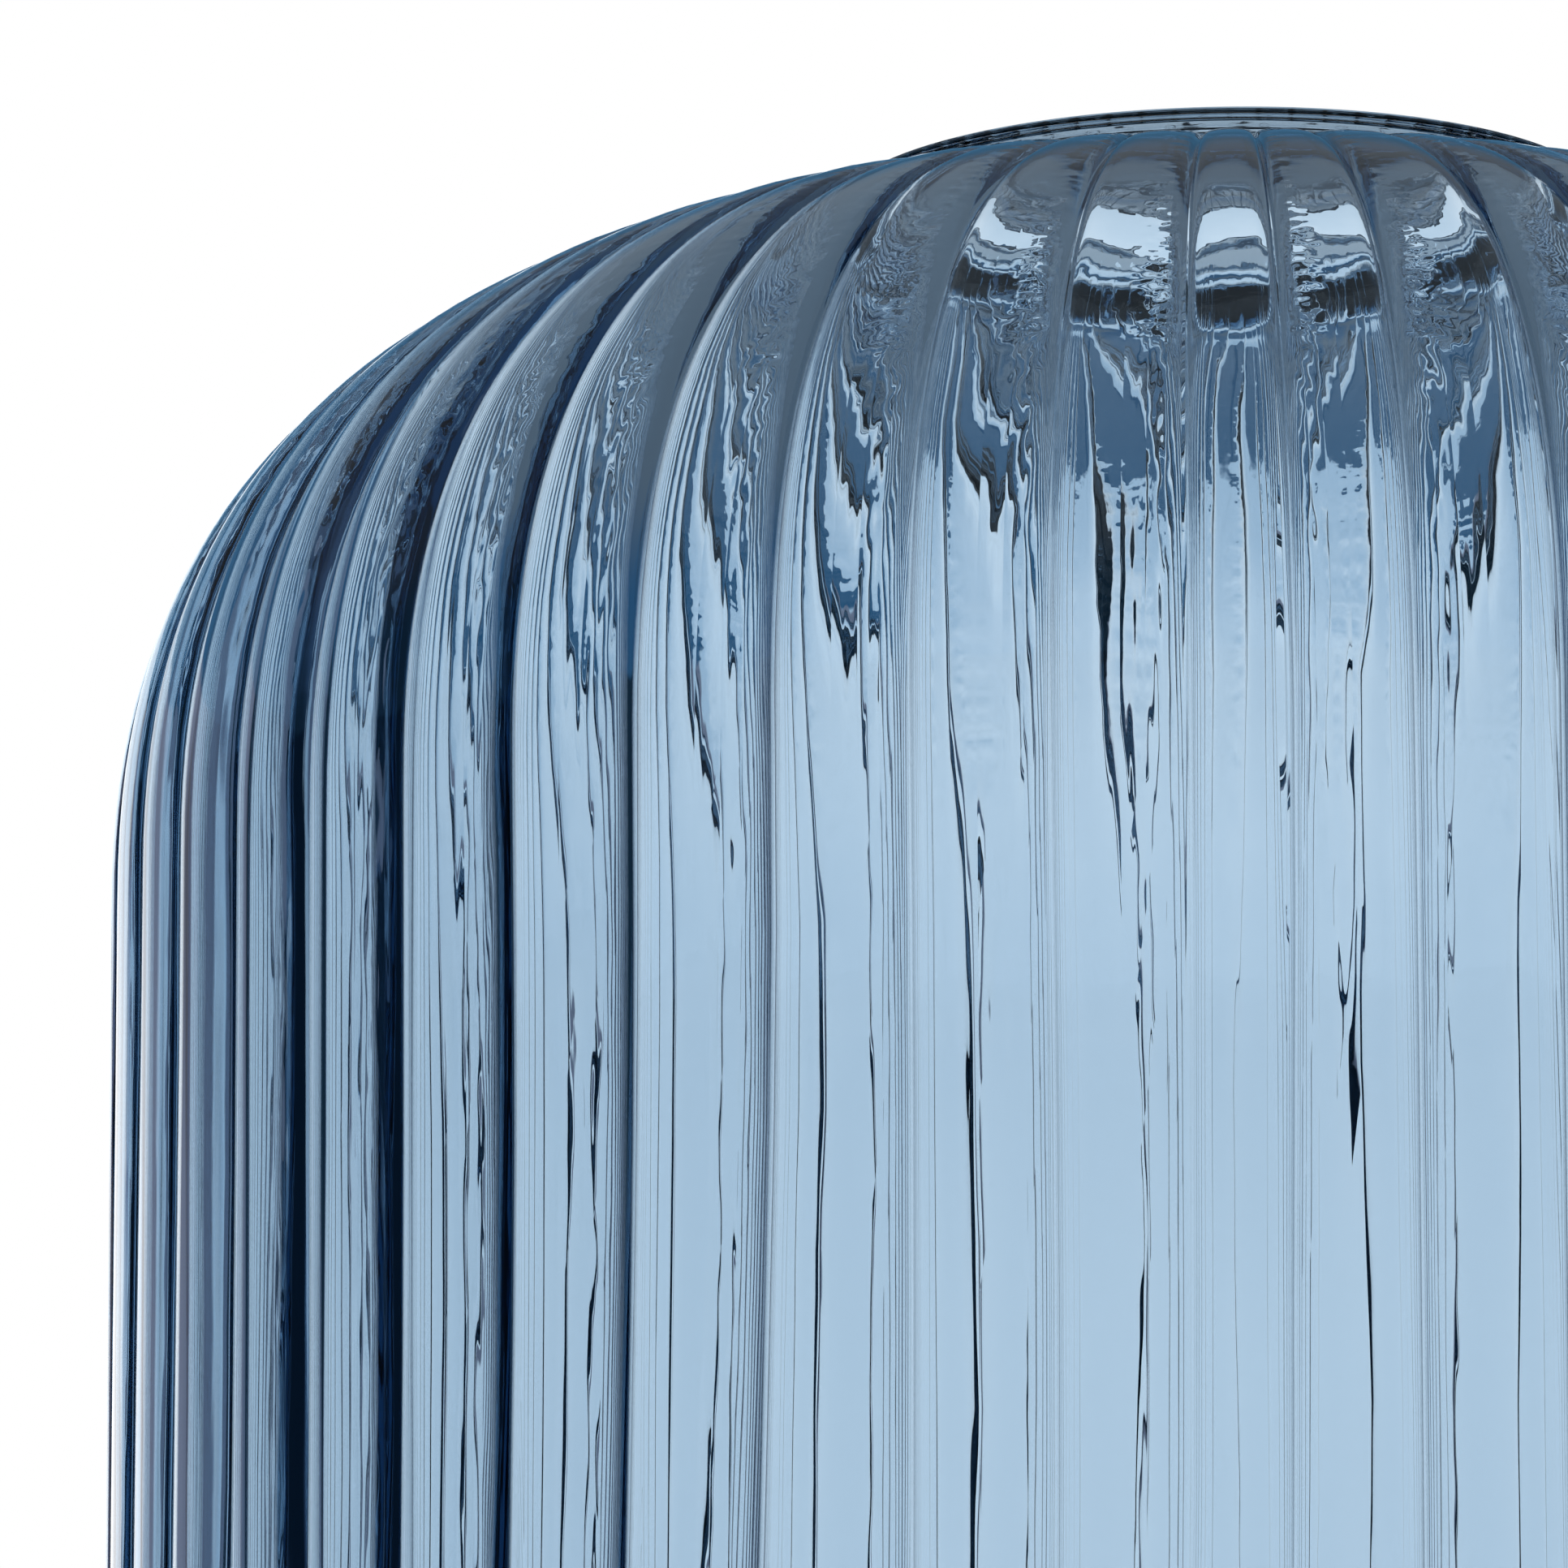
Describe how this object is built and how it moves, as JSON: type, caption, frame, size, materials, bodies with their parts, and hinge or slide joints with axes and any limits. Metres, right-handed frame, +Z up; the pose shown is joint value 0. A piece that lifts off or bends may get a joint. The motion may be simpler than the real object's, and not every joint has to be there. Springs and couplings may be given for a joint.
{
  "type": "glass bud vase",
  "caption": "Squat ribbed glass bud vase with a straight round body, a domed shoulder and a small plain lip round a narrow mouth.",
  "frame": {"origin": "centre of the vase's resting plane", "axes": "+Z up the vase's axis towards the mouth; the two mould seams, where the ribs are narrower, lie at -Y and +Y"},
  "size_m": [0.08, 0.08, 0.105],
  "materials": {
    "blue_glass": "clear grey-blue tinted glass, polished, slightly wavy inside"
  },
  "bodies": {
    "root": {"foot": "blue_glass", "body_wall": "blue_glass", "shoulder": "blue_glass", "lip": "blue_glass"}
  },
  "joints": []
}
